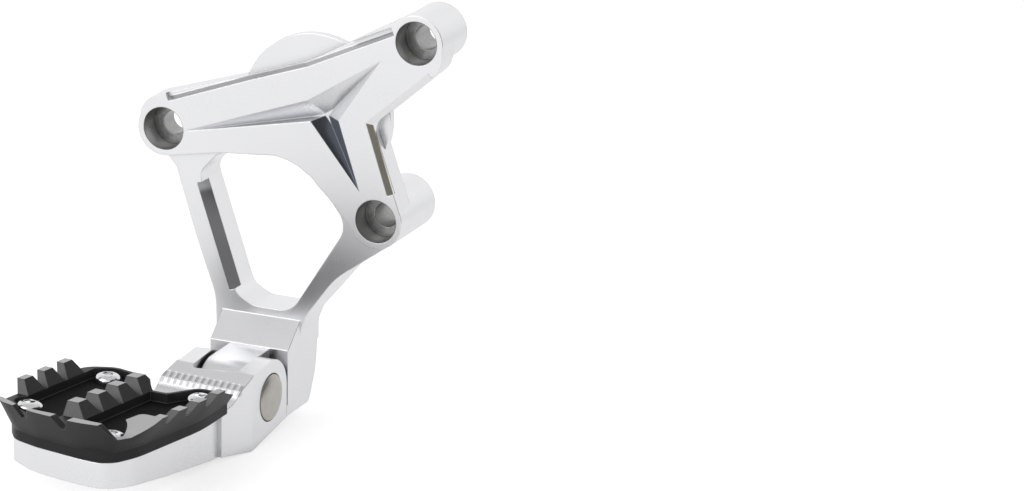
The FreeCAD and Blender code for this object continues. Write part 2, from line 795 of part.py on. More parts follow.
# The ends of the cuts over the tread plate, beyond its outline on every side.
OVER_TEETH = 14
INBOARD = 20
OUTBOARD = 110
FRONT = 20
REAR = -65

# The three rows run along the tread between these, from front to rear.
FRONT_ROW_INNER = -0.6
FRONT_TEETH_INNER = 3.4
LOBE_INBOARD = 79.4
MIDDLE_ROW = (-21.5, -29.7)
REAR_ROW_INNER = -51
TIP_WALL = (93.5, 97.5)
FRONT_CORNER_END = -15.5


def cut_channels(body):
    """Two channels along the tread, which leave its three rows and the lobe of the tip screw."""
    channels = sketch_on(body, "XY_Plane", "channel_outline", S["screw_seat"])
    outline(channels, [
        (30.7, FRONT_ROW_INNER),
        (LOBE_INBOARD, FRONT_ROW_INNER),
        (80.4, -3.1),
        (82.4, -6.1),
        (85.1, -8.9),
        (88.4, -11.6),
        (91.5, -13.5),
        (91.5, MIDDLE_ROW[0]),
        (43, MIDDLE_ROW[0]),
        (42.8, -15.2),
        (30.7, -9.7, 4),
    ])
    outline(channels, [
        (34.9, MIDDLE_ROW[1]),
        (91.5, MIDDLE_ROW[1]),
        (90.0, -38),
        (86.0, -46.0),
        (80.0, REAR_ROW_INNER),
        (31.0, REAR_ROW_INNER),
        (26.9, -45.6, 5),
        (29.4, -34.8, 4),
    ])
    pocket(body, channels, BLANK_TOP, "channels", True)

    slants = sketch_on(body, "YZ_Plane", "slant_outline", 88)
    floor, top = S["tread_floor"], OVER_TEETH
    outline(slants, [(-20, floor), (-20, top), (-26.4, top), (MIDDLE_ROW[0], floor)])
    outline(slants, [(-50, floor), (-50, top), (-55.2, top), (REAR_ROW_INNER, floor)])
    pocket(body, slants, 88 - INBOARD, "slants")

    front = sketch_on(body, "YZ_Plane", "front_slant_outline", LOBE_INBOARD)
    outline(front, [(-3, floor), (-3, top), (FRONT_TEETH_INNER, top), (FRONT_ROW_INNER, floor)])
    pocket(body, front, LOBE_INBOARD - INBOARD, "front_slant")

    rim = sketch_on(body, "YZ_Plane", "rim_outline", 45)
    inner = FRONT_ROW_INNER
    outline(rim, [(MIDDLE_ROW[0], floor), (inner, floor), (inner, top), (MIDDLE_ROW[0], top)])
    pocket(body, rim, 45 - INBOARD, "rim")


def cut_gullets(body):
    """The gaps between the teeth of each row, at one pitch, and the last one up to the tip wall."""
    gullets = sketch_on(body, "XZ_Plane", "gullet_outline", -FRONT)
    floor, top = S["tread_floor"], OVER_TEETH
    lean = S["tooth_slope"] / (S["tooth_top"] - S["tread_floor"])
    over = lean * (OVER_TEETH - S["tooth_top"])
    first = S["tooth_first"]
    outline(gullets, [
        (INBOARD, floor),
        (first - S["tooth_slope"], floor),
        (first + over, top),
        (INBOARD, top),
    ])
    for number in range(3):
        start = first + S["tooth_length"] + number * S["tooth_pitch"]
        end = start - S["tooth_length"] + S["tooth_pitch"]
        outline(gullets, [
            (start - over, top),
            (start + S["tooth_slope"], floor),
            (end - S["tooth_slope"], floor),
            (end + over, top),
        ])
    pocket(body, gullets, FRONT - REAR, "gullets", True)

    last = first + S["tooth_length"] + 3 * S["tooth_pitch"]
    tip = sketch_on(body, "XZ_Plane", "tip_gullet_outline", -FRONT_CORNER_END)
    outline(tip, [
        (last - over, top),
        (last + S["tooth_slope"], floor),
        (TIP_WALL[0], floor),
        (TIP_WALL[1], top),
    ])
    pocket(body, tip, FRONT_CORNER_END + 38.5, "tip_gullet", True)

    gaps = sketch_on(body, "YZ_Plane", "tip_gap_outline", 90)
    outline(gaps, [(-17.1, top), (-20.3, floor), (-22.0, floor), (-25, top)])
    outline(gaps, [(-34, top), (-37, floor), (-39, floor), (-41.5, top)])
    pocket(body, gaps, OUTBOARD - 90, "tip_gaps", True)


def cut_rear_corner(body):
    """The rear row ends after its third tooth, and a last tooth follows the corner of the tip."""
    inner_edge = [(96.5, -38.5), (93.9, -43), (90.8, -49.3), (95, -58)]
    lean = (TIP_WALL[1] - TIP_WALL[0]) / (OVER_TEETH - S["tread_floor"].value)
    sketches = []
    for name, level in (("foot", S["tread_floor"]), ("top", as_size(OVER_TEETH))):
        edge = beside_path(inner_edge, lean * (level.value - S["tooth_top"].value))
        sketch = sketch_on(body, "XY_Plane", "rear_corner_" + name, level)
        start = (edge[0][0], -36.8)
        end = (edge[-1][0], REAR)
        outline(sketch, [(73, -36.8), start] + edge + [end, (73, REAR)])
        sketches.append(sketch)
    loft(body, "PartDesign::SubtractiveLoft", sketches, "rear_corner")


def cut_front_corner(body):
    """The front row slopes down to the lobe that holds the tip screw, which is open to the front."""
    low, top = S["tip_ramp_floor"], OVER_TEETH
    lean = (S["tip_ramp_end"] - S["tip_ramp_start"]) / (S["tooth_top"] - low)
    ramp = sketch_on(body, "XZ_Plane", "tip_ramp_outline", -FRONT)
    outline(ramp, [
        (S["tip_ramp_start"] - lean * (OVER_TEETH - S["tooth_top"]), top),
        (S["tip_ramp_end"], low),
        (TIP_WALL[0] - 1, low),
        (TIP_WALL[1], top),
    ])
    pocket(body, ramp, FRONT - FRONT_CORNER_END, "tip_ramp", True)
    open_side = sketch_on(body, "YZ_Plane", "open_side_outline", S["tip_ramp_end"])
    outline(open_side, [(FRONT, top), (FRONT, low), (-3.2, low), (-7.2, top)])
    pocket(body, open_side, OUTBOARD - S["tip_ramp_end"], "open_side", True)


def turned_body(label, corners):
    """A piece turned about the pin's axis: its corners give (radius, place along Y)."""
    body = new_body(label)
    profile = sketch_on(body, "XY_Plane", label + "_profile")
    outline(profile, corners)
    feature = body.newObject("PartDesign::Revolution", label + "_turned")
    feature.Profile = profile
    feature.ReferenceAxis = (profile, ["V_Axis"])
    feature.Angle = 360
    doc.recompute()
    return body


def groove_y():
    """Where the retaining ring's groove starts, past the rear ear and the washer."""
    return -S["hinge_width"] - S["washer_depth"] - S["side_clearance"]


def make_pin():
    """The hinge pin: head, shank and the groove near its end."""
    head, shank, groove = S["pin_head_radius"], S["pin_radius"], S["clip_groove_depth"]
    under_head = S["pin_head_proud"] - S["pin_head_depth"]
    end = groove_y() - S["clip_depth"] - S["pin_tail"]
    return turned_body("pivot_pin", [
        (0, S["pin_head_proud"]),
        (head - S["pin_head_bevel"], S["pin_head_proud"]),
        (head, S["pin_head_proud"] - S["pin_head_bevel"]),
        (head, under_head),
        (shank, under_head),
        (shank, groove_y()),
        (shank - groove, groove_y()),
        (shank - groove, groove_y() - S["clip_depth"]),
        (shank, groove_y() - S["clip_depth"]),
        (shank, end),
        (0, end),
    ])


def make_bush(label, face_y, inward):
    """A flanged bush in the tongue, its flange outside the tongue's face."""
    bore = S["pin_radius"] + S["pin_clearance"]
    wall = bore + S["bush_wall"]
    flange_y = face_y - inward * S["bush_flange_depth"]
    return turned_body(label, [
        (bore, flange_y),
        (S["bush_flange_radius"], flange_y),
        (S["bush_flange_radius"], face_y),
        (wall, face_y),
        (wall, face_y + inward * bush_length()),
        (bore, face_y + inward * bush_length()),
    ])


def make_washer():
    """The plain washer between the rear ear and the retaining ring."""
    bore = S["pin_radius"] + S["pin_clearance"]
    face = -S["hinge_width"]
    return turned_body("pin_washer", [
        (bore, face),
        (S["washer_radius"], face),
        (S["washer_radius"], face - S["washer_depth"]),
        (bore, face - S["washer_depth"]),
    ])


def make_clip():
    """The retaining ring, sprung open on one side."""
    inner = S["pin_radius"] - S["clip_groove_depth"]
    outer = inner + S["clip_ring_width"]
    body = turned_body("pin_clip", [
        (inner, groove_y()),
        (outer, groove_y()),
        (outer, groove_y() - S["clip_depth"]),
        (inner, groove_y() - S["clip_depth"]),
    ])
    mouth = sketch_on(body, "XZ_Plane", "mouth_outline", -groove_y() - 1)
    side, rim = S["clip_mouth"] / 2, -S["washer_radius"]
    outline(mouth, [(0, 0), (-side, rim), (side, rim)])
    pocket(body, mouth, S["clip_depth"] + 2, "mouth", True)
    return body


def make_spring():
    """The torsion spring in the tongue: a coil, with one end in the ear and one in the tongue."""
    body = new_body("return_spring")
    wire, coil = S["spring_wire_radius"], S["spring_coil_radius"]
    first_y = tongue_back_y() + wire + S["leg_clearance"]
    section = sketch_on(body, "XY_Plane", "wire_outline")
    outline(section, [
        (coil - wire, first_y - wire),
        (coil + wire, first_y - wire),
        (coil + wire, first_y + wire),
        (coil - wire, first_y + wire),
    ])
    helix = body.newObject("PartDesign::AdditiveHelix", "coil")
    helix.Profile = section
    helix.ReferenceAxis = (section, ["V_Axis"])
    helix.Mode = "pitch-turns-angle"
    tie(helix, "Pitch", S["spring_pitch"])
    tie(helix, "Turns", S["spring_turns"])
    doc.recompute()

    ear_leg = sketch_on(body, "XZ_Plane", "ear_leg_outline", -first_y)
    circle(ear_leg, (coil, 0), S["spring_leg_radius"])
    gap = first_y - tongue_back_y() + flange_room()
    pad(body, ear_leg, gap + S["spring_leg"], "ear_leg")

    last_y = first_y + S["spring_turns"] * S["spring_pitch"]
    tongue_leg = sketch_on(body, "XZ_Plane", "tongue_leg_outline", -last_y)
    circle(tongue_leg, (-coil, 0), S["spring_leg_radius"])
    room = tongue_back_y() + spring_pocket_depth() - last_y
    pad(body, tongue_leg, room + S["spring_leg"] - S["leg_clearance"], "tongue_leg", True)
    return body


def make_screw(name, place):
    """A button-head screw with a hexagon socket, seated in the tread plate."""
    body = new_body("tread_screw_" + name)
    body.Placement = tread_frame(place[0], place[1], seat_of(name).value)
    head, tall, shank = S["screw_head_radius"], S["screw_head_height"], S["screw_shank_radius"]
    profile = sketch_on(body, "XZ_Plane", "screw_profile")
    outline(profile, [
        (0, tall),
        (S["screw_crown_radius"], tall),
        (head, S["screw_side_height"]),
        (head, 0),
        (shank, 0),
        (shank, -S["screw_length"]),
        (0, -S["screw_length"]),
    ])
    feature = body.newObject("PartDesign::Revolution", "screw_turned")
    feature.Profile = profile
    feature.ReferenceAxis = (profile, ["V_Axis"])
    feature.Angle = 360
    doc.recompute()
    socket = sketch_on(body, "XY_Plane", "socket_outline", tall)
    across = S["screw_socket_radius"]
    outline(socket, [
        (across * math.cos(math.radians(60 * side)), across * math.sin(math.radians(60 * side)))
        for side in range(6)
    ])
    pocket(body, socket, S["screw_socket_depth"], "socket")
    return body


make_bracket()
make_peg_body()
make_tread_plate()
make_pin()
make_bush("front_bush", tongue_front_y(), -1)
make_bush("rear_bush", tongue_back_y(), 1)
make_washer()
make_clip()
make_spring()
for screw_name, screw_place in SCREWS.items():
    make_screw(screw_name, screw_place)


def pieces():
    """Every sub-part of the document."""
    return [thing for thing in doc.Objects if thing.TypeId == "PartDesign::Body"]


def check_document():
    """Stops on any object that failed, and on any body without a valid solid."""
    for thing in doc.Objects:
        if "Invalid" in thing.State or "Error" in thing.State:
            raise RuntimeError("%s: %s" % (thing.Name, thing.State))
    for body in pieces():
        if body.Shape.isNull() or not body.Shape.isValid():
            raise RuntimeError(body.Label + " has no valid shape")


def move_to_mount():
    """Moves every piece, so that the origin lies where the lower bolt meets the motorcycle."""
    mount = Vector(
        S["lower_spacer_back_x"].value,
        S["lower_bore_y"].value,
        S["lower_bore_z"].value,
    )
    for body in pieces():
        body.Placement = Placement(-mount, Rotation()).multiply(body.Placement)


move_to_mount()
doc.recompute()
check_document()
os.makedirs("parts", exist_ok=True)
for piece in pieces():
    piece.Shape.exportStep("parts/%s.step" % piece.Label)
    print(piece.Label, round(piece.Shape.Volume), len(piece.Shape.Solids), piece.Shape.BoundBox)
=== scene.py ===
import bpy
import math
from mathutils import Matrix, Vector


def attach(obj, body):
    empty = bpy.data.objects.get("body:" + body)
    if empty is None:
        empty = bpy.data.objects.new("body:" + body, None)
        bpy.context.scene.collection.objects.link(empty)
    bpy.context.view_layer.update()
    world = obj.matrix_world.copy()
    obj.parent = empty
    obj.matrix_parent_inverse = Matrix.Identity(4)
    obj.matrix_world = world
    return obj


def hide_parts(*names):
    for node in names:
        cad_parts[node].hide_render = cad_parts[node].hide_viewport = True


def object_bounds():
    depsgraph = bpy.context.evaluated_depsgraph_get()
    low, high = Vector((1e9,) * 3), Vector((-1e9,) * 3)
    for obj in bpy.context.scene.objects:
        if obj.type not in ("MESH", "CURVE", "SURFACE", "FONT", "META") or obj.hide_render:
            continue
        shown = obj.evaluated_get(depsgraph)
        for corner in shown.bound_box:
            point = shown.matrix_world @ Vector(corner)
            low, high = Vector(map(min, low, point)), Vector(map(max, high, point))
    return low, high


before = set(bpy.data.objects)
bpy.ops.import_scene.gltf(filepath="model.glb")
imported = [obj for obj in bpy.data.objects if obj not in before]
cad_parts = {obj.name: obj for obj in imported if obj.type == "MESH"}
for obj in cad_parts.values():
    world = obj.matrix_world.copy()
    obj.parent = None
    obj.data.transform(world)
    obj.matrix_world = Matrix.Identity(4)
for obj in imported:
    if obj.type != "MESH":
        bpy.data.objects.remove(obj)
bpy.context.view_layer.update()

ALUMINIUM = (0.88, 0.885, 0.895)
ALUMINIUM_SHADE = (0.79, 0.795, 0.81)
ALUMINIUM_EDGE = (0.93, 0.93, 0.94)
# Painted shade in the aluminium's corners and grooves.
ALUMINIUM_CORNER_SHADE = (0.20, 0.205, 0.22)
# The counterbores' turned metal, its tones kept darker than the face as painted shade in the
# recess, then a painted shadow in their corners.
BORE_SHADE = (0.22, 0.22, 0.215)
BORE_LIGHT = (0.50, 0.50, 0.495)
BORE_CORNER_SHADE = (0.06, 0.06, 0.06)

# Lengths are in metres. A grain is how often a noise repeats in a metre, and a stretch packs it
# closer along an axis. A pair is where a shade starts to come in and where it is full.
BLAST_GRAIN = 5200.0
CUTTER_GRAIN = 900.0
CUTTER_STRETCH = (1.0, 1.0, 9.0)
CLOUD_GRAIN = 38.0
BORE_GRAIN = 700.0
BORE_STRETCH = (9.0, 1.0, 1.0)
EDGE_WIDTH = 0.0005
EDGE_TURN = (0.01, 0.25)
ENCLOSED = (0.15, 0.75)
# How far the painted shade in corners reaches, and how dark it gets there.
CORNER_SHADE_REACH = 0.006
CORNER_SHADE_DEPTH = 0.55
# How far the painted shadow in a counterbore's corner reaches, and how dark it gets.
BORE_CORNER_SHADE_REACH = 0.0035
BORE_CORNER_SHADE_DEPTH = 0.8
BUMP_HEIGHT = 0.00002

# The Y and Z of each bolt from the lower one, and the distance at which its counterbore ends.
BOLTS = ((0.0141, 0.0641), (0.0, 0.0), (-0.0800, 0.0220))
COUNTERBORE_END = (0.0076, 0.0077)

# Bevels and pocket walls painted darker, as painted dark reflections and shade: the way each faces,
# the heights over which its shade comes in, and its colour. First the window's bevel, then the one
# at the front, then the two walls of the star's lower leg.
FACET_MATCH = (0.975, 0.99)
WINDOW_HEIGHTS = (0.0025, 0.0)
SPOKE_HEIGHTS = (-0.010, -0.009)
PAINTED_DARK_FACES = (
    ((0.371, 0.878, 0.299), WINDOW_HEIGHTS, (0.28, 0.28, 0.285)),
    ((0.840, 0.520, 0.170), SPOKE_HEIGHTS, (0.50, 0.48, 0.40)),
    ((0.610, 0.610, 0.500), SPOKE_HEIGHTS, (0.27, 0.285, 0.32)),
    ((0.760, -0.610, -0.200), SPOKE_HEIGHTS, (0.25, 0.265, 0.30)),
)


class Wire:
    """One value in a material, with Python's own sums for its Math nodes."""

    def __init__(self, tree, socket):
        self.tree = tree
        self.socket = socket

    def sum(self, operation, *values):
        """What a Math node works out from this value and the others."""
        inputs = list(enumerate((self,) + values))
        return self.node("ShaderNodeMath", dict(operation=operation), inputs)

    def __add__(self, other):
        return self.sum("ADD", other)

    def __sub__(self, other):
        return self.sum("SUBTRACT", other)

    def __rsub__(self, other):
        return (self * -1) + other

    def __mul__(self, other):
        return self.sum("MULTIPLY", other)

    __radd__ = __add__
    __rmul__ = __mul__

    def over(self, start, end):
        """0 before the start and 1 past the end, smooth between them. The start may be higher."""
        ramp = dict(interpolation_type="SMOOTHSTEP")
        return self.node("ShaderNodeMapRange", ramp, [(0, self), (1, start), (2, end)])

    def node(self, kind, settings, inputs, output=0):
        """Adds a node, sets it up, fills its sockets by number or name, and returns one output."""
        node = self.tree.nodes.new(kind)
        for name, value in settings.items():
            setattr(node, name, value)
        for name, value in inputs:
            socket = node.inputs[name]
            if isinstance(value, Wire):
                self.tree.links.new(value.socket, socket)
            else:
                socket.default_value = value
        return Wire(self.tree, node.outputs[output])

    def noise(self, scale, detail=3.0, roughness=0.5):
        """A noise from 0 to 1 at this place."""
        inputs = [("Vector", self), ("Scale", scale), ("Detail", detail), ("Roughness", roughness)]
        return self.node("ShaderNodeTexNoise", {}, inputs)

    def mix(self, low, high):
        """This value as a factor between two colours."""
        colours = [("Factor", self), (6, paint(low)), (7, paint(high))]
        return self.node("ShaderNodeMix", dict(data_type="RGBA"), colours, 2)

    def placed(self, location=(0, 0, 0), scale=(1, 1, 1)):
        """This vector once it is scaled and then moved."""
        inputs = [("Vector", self), ("Location", location), ("Scale", scale)]
        return self.node("ShaderNodeMapping", {}, inputs)

    def dot(self, axis):
        """How far this vector reaches along an axis."""
        product = dict(operation="DOT_PRODUCT")
        return self.node("ShaderNodeVectorMath", product, [(0, self), (1, axis)], "Value")

    def flattened(self, keep):
        """The length of this vector once it is multiplied by a vector of zeros and ones."""
        product = dict(operation="MULTIPLY")
        flat = self.node("ShaderNodeVectorMath", product, [(0, self), (1, keep)])
        return flat.node("ShaderNodeVectorMath", dict(operation="LENGTH"), [(0, flat)], "Value")


def paint(colour):
    """A colour as a socket takes it, with its alpha."""
    return colour if isinstance(colour, Wire) else tuple(colour) + (1.0,)


def new_material(name):
    """A new material, its shader, and its object coordinates as a wire."""
    material = bpy.data.materials.new(name)
    material.use_nodes = True
    tree = material.node_tree
    shader = tree.nodes["Principled BSDF"]
    coordinates = tree.nodes.new("ShaderNodeTexCoord")
    return material, shader, Wire(tree, coordinates.outputs["Object"])


def feed(shader, **sockets):
    """Sets or links the shader's sockets, named with _ for a space."""
    for name, value in sockets.items():
        socket = shader.inputs[name.replace("_", " ")]
        if isinstance(value, Wire):
            value.tree.links.new(value.socket, socket)
        else:
            socket.default_value = value


def facing(place):
    """The way the surface faces, in the object's own axes."""
    return place.node("ShaderNodeTexCoord", {}, [], "Normal")


def edge_wear(place, width):
    """How far the surface turns within this distance, and its softened normal."""
    soft = place.node("ShaderNodeBevel", dict(samples=6), [("Radius", width)])
    straight = place.node("ShaderNodeNewGeometry", {}, [], "Normal")
    return (1 - soft.dot(straight)).over(*EDGE_TURN), soft


def shade_in_hollows(place, reach):
    """How enclosed the surface is, for painted shade: 0 in the open and 1 deep in a corner, bore or
    groove.
    """
    distance = [("Distance", reach)]
    open_sky = place.node("ShaderNodeAmbientOcclusion", dict(samples=8), distance, "AO")
    return (1 - open_sky).over(*ENCLOSED)


def fine_bump(place, relief, strength, distance=BUMP_HEIGHT, normal=None):
    """A very low relief, on top of another normal where one is given."""
    inputs = [("Strength", strength), ("Distance", distance), ("Height", relief)]
    if normal is not None:
        inputs.append(("Normal", normal))
    return place.node("ShaderNodeBump", {}, inputs)


def milled_aluminium(name, details):
    """Bead-blasted aluminium, clear anodised: fine grain, faint cutter marks, bright edges and
    painted shade in corners and grooves.
    """
    material, shader, place = new_material(name)
    blast = place.noise(BLAST_GRAIN, detail=2.0, roughness=0.6)
    cloud = place.noise(CLOUD_GRAIN)
    cutter = place.placed(scale=CUTTER_STRETCH).noise(CUTTER_GRAIN, detail=2.0)
    wear, soft = edge_wear(place, EDGE_WIDTH)
    colour = (cloud * 0.6 + blast * 0.4).mix(ALUMINIUM_SHADE, ALUMINIUM)
    colour = wear.mix(colour, ALUMINIUM_EDGE)
    # Painted shade in corners and grooves, where the surface is enclosed.
    colour = (shade_in_hollows(place, CORNER_SHADE_REACH) * CORNER_SHADE_DEPTH).mix(colour, ALUMINIUM_CORNER_SHADE)
    feed(
        shader,
        Base_Color=details(place, colour),
        Metallic=1.0,
        Roughness=0.22 + cloud * 0.08 + cutter * 0.06 - wear * 0.06,
        Normal=fine_bump(place, blast * 0.6 + cutter * 0.4, strength=0.12, normal=soft),
    )
    return material


def bracket_details(place, colour):
    """Turned metal with painted shade in the counterbores, and bevels and star walls painted dark
    as shade and reflections.
    """
    turned = place.placed(scale=BORE_STRETCH).noise(BORE_GRAIN, detail=2.0)
    bore = turned.mix(BORE_SHADE, BORE_LIGHT)
    corner = shade_in_hollows(place, BORE_CORNER_SHADE_REACH)
    # Each counterbore: turned metal darkened as painted shade, and a painted shadow in its corner.
    for y, z in BOLTS:
        radius = place.placed(location=(0, -y, -z)).flattened((0, 1, 1))
        inside = 1 - radius.over(*COUNTERBORE_END)
        colour = inside.mix(colour, bore)
        colour = (corner * inside * BORE_CORNER_SHADE_DEPTH).mix(colour, BORE_CORNER_SHADE)
    way = facing(place)
    height = place.dot((0, 0, 1))
    # Painted dark reflections and shade on the bevels and the star's walls.
    for direction, heights, shade in PAINTED_DARK_FACES:
        painted_dark_facet = way.dot(direction).over(*FACET_MATCH)
        colour = (painted_dark_facet * height.over(*heights)).mix(colour, shade)
    return colour


def dress(node, material):
    """Gives a node of the frame its material."""
    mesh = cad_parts[node].data
    mesh.materials.clear()
    mesh.materials.append(material)


dress("bracket", milled_aluminium("milled bracket", bracket_details))

# Peg body
# A second milled block in the same finish: two ears for the pin, a ribbed strip across the
# root, and the platform that carries the tread.
# Painted shade on the lands between the notches of the ribbed strip.
LAND_PAINTED_SHADE = (0.52, 0.52, 0.53)

# The pin's axis at the front ear's outer face, from the lower bolt, and the sweep of the peg.
HINGE = (0.049, -0.0286, -0.0605)
TO_HINGE = tuple(-part for part in HINGE)
SWEEP = math.radians(-4.8)
SWEPT = (math.cos(SWEEP), math.sin(SWEEP), 0.0)
ACROSS = (-math.sin(SWEEP), math.cos(SWEEP), 0.0)

# The ribbed strip from the hinge: where it starts and ends along the peg, how high it lies, its
# first notch across the peg, and the part of the wave from notch to notch that is a land.
STRIP_START = (0.0175, 0.0178)
STRIP_END = (0.0212, 0.0216)
STRIP_HEIGHT = (0.0060, 0.0068)
NOTCH_FIRST = -0.0018
NOTCH_PITCH = 0.0025
LAND_END = (-0.55, 0.45)


def peg_details(place, colour):
    """The lands between the notches of the ribbed strip get painted shade, darker than the notches.
    """
    from_hinge = place.placed(location=TO_HINGE)
    along, across = from_hinge.dot(SWEPT), from_hinge.dot(ACROSS)
    strip = along.over(*STRIP_START) * (1 - along.over(*STRIP_END))
    high = from_hinge.dot((0, 0, 1)).over(*STRIP_HEIGHT)
    wave = ((across - NOTCH_FIRST) * (2 * math.pi / NOTCH_PITCH)).sum("COSINE")
    land = 1 - wave.over(*LAND_END)
    # Painted shade on the lands of the strip.
    return (strip * high * land).mix(colour, LAND_PAINTED_SHADE)


dress("peg_body", milled_aluminium("milled peg", peg_details))

# Bushes, spring, washer and ring
# Small hidden hinge parts: sintered bronze bushes pressed in the tongue, a spring of square
# wire, a zinc-plated washer and a retaining ring of dark spring steel.
SMALL_EDGE_WIDTH = 0.0002


def plain_metal(name, light, shade, roughness, grain):
    """A turned or drawn metal: two shades in fine streaks, and brighter edges."""
    material, shader, place = new_material(name)
    streaks = place.noise(grain)
    wear, soft = edge_wear(place, SMALL_EDGE_WIDTH)
    bright = tuple(min(1.0, part * 1.2) for part in light)
    feed(
        shader,
        Base_Color=wear.mix(streaks.mix(shade, light), bright),
        Metallic=1.0,
        Roughness=roughness + streaks * 0.12,
        Normal=fine_bump(place, streaks, strength=0.15, normal=soft),
    )
    return material


bronze = plain_metal(
    "bush bronze", light=(0.62, 0.43, 0.20), shade=(0.50, 0.33, 0.14), roughness=0.34, grain=2500.0)
spring = plain_metal(
    "spring wire", light=(0.35, 0.35, 0.36), shade=(0.22, 0.22, 0.23), roughness=0.32, grain=3000.0)
zinc = plain_metal(
    "washer zinc", light=(0.66, 0.66, 0.67), shade=(0.55, 0.55, 0.56), roughness=0.30, grain=1800.0)
dress("front_bush", bronze)
dress("rear_bush", bronze)
dress("return_spring", spring)
dress("pin_clip", spring)
dress("pin_washer", zinc)

# Hinge pin
# Turned from stainless steel, with a low dome on its head and a groove for the retaining ring.
# Its head shows fine rings about its axis and is slightly warmer and darker than the aluminium.
PIN_LIGHT = (0.58, 0.56, 0.52)
PIN_SHADE = (0.46, 0.44, 0.41)
PIN_EDGE = (0.75, 0.73, 0.70)
PIN_EDGE_WIDTH = 0.0003
PIN_CLOUD_GRAIN = 300.0
RING_TURNS = 26000.0

# The pin is turned upright: its head from LOW to RIM, then the dome's steps as (inward, upward).
# An end face is one that points along the axis by more than this share.
END_SHARE = 0.9
PIN_SIDES = 96
PIN_SMOOTH = 0.5
PIN_HEAD_RADIUS = 0.00805
PIN_HEAD_LOW = -0.0027
PIN_HEAD_RIM = 0.0001
PIN_DOME = (
    (0.00025, 0.00035),
    (0.0008, 0.00035),
    (0.0012, 0.00035),
    (0.0016, 0.00025),
    (0.0018, 0.00012),
)
PIN_RADIUS = 0.0040
GROOVE_RADIUS = 0.0034
GROOVE_START = 0.0308
GROOVE_WIDTH = 0.0010
PIN_TAIL = 0.0008
ALONG_PIN = Matrix.Rotation(math.radians(-90.0), 4, "X")


def turned_steel():
    """Stainless steel with the rings of the turning tool."""
    material, shader, place = new_material("turned pin")
    radius = place.placed(location=TO_HINGE).flattened((1, 0, 1))
    rings = (radius * RING_TURNS).sum("SINE") * 0.5 + 0.5
    cloud = place.noise(PIN_CLOUD_GRAIN)
    wear, soft = edge_wear(place, PIN_EDGE_WIDTH)
    feed(
        shader,
        Base_Color=wear.mix(cloud.mix(PIN_SHADE, PIN_LIGHT), PIN_EDGE),
        Metallic=1.0,
        Roughness=0.30 + rings * 0.08 + cloud * 0.08,
        Normal=fine_bump(place, rings, strength=0.25, normal=soft),
    )
    return material


def start_cylinder(sides, radius, low, high):
    """A cylinder on the vertical axis, in edit mode."""
    bpy.ops.object.select_all(action="DESELECT")
    bpy.ops.mesh.primitive_cylinder_add(
        vertices=sides, radius=radius, depth=high - low, location=(0, 0, (low + high) / 2))
    bpy.ops.object.transform_apply(location=True, rotation=False, scale=False)
    bpy.ops.object.mode_set(mode="EDIT")
    bpy.ops.mesh.select_mode(type="FACE")
    return bpy.context.object


def pick_end(piece, way):
    """Picks the face at the upper end, where way is 1, or at the lower end, where it is -1."""
    bpy.ops.mesh.select_all(action="DESELECT")
    bpy.ops.object.mode_set(mode="OBJECT")
    for face in piece.data.polygons:
        face.select = face.normal.z * way > END_SHARE
    bpy.ops.object.mode_set(mode="EDIT")


def make_head(piece, radius, dome, shank_radius):
    """Raises a dome on the upper end, and picks a circle for the shank at the lower end."""
    pick_end(piece, 1)
    for inward, upward in dome:
        bpy.ops.mesh.inset(thickness=inward, depth=upward)
    pick_end(piece, -1)
    bpy.ops.mesh.inset(thickness=radius - shank_radius, depth=0.0)


def turn_down(length, radius=None, was=None):
    """Pushes the picked end face out along the axis, after drawing it in or out to a radius."""
    if radius is not None:
        bpy.ops.mesh.extrude_region_move(TRANSFORM_OT_translate=dict(value=(0, 0, 0)))
        bpy.ops.transform.resize(value=(radius / was, radius / was, 1))
    bpy.ops.mesh.extrude_region_move(TRANSFORM_OT_translate=dict(value=(0, 0, -length)))


def finish_mesh(piece, place, smooth_below):
    """Moves a piece's mesh to its place and smooths its edges below an angle in radians."""
    bpy.context.view_layer.objects.active = piece
    bpy.ops.object.mode_set(mode="OBJECT")
    piece.data.transform(place)
    bpy.ops.object.select_all(action="DESELECT")
    piece.select_set(True)
    bpy.ops.object.shade_smooth_by_angle(angle=smooth_below)


pin = start_cylinder(PIN_SIDES, PIN_HEAD_RADIUS, PIN_HEAD_LOW, PIN_HEAD_RIM)
pin.name = "hinge_pin"
make_head(pin, PIN_HEAD_RADIUS, PIN_DOME, PIN_RADIUS)
turn_down(GROOVE_START + PIN_HEAD_LOW)
turn_down(GROOVE_WIDTH, GROOVE_RADIUS, PIN_RADIUS)
turn_down(PIN_TAIL, PIN_RADIUS, GROOVE_RADIUS)
finish_mesh(pin, Matrix.Translation(HINGE) @ ALONG_PIN, PIN_SMOOTH)
pin.data.materials.append(turned_steel())
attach(pin, "peg_side")
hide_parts("pivot_pin")

# Tread plate
# Milled from one plate and anodised black, with satin black walls. Its channels get painted shade
# in deep black, and the flanks, the tooth tops and the lobe of the front tip screw a painted grey
# sheen.
WALL_SHADE = (0.020, 0.020, 0.021)
WALL_LIGHT = (0.036, 0.036, 0.037)
# Painted shade on the channel floors.
CHANNEL_SHADE_BLACK = (0.002, 0.002, 0.002)
# Painted grey sheen on the flanks, the lobe and the tooth tops, each in two tones.
FLANK_SHEEN_SHADE = (0.075, 0.075, 0.077)
FLANK_SHEEN_LIGHT = (0.125, 0.125, 0.127)
LOBE_SHEEN_SHADE = (0.50, 0.50, 0.50)
LOBE_SHEEN_LIGHT = (0.62, 0.62, 0.62)
TOP_SHEEN_SHADE = (0.38, 0.38, 0.38)
TOP_SHEEN_LIGHT = (0.52, 0.52, 0.52)
WORN_BLACK = (0.20, 0.20, 0.21)

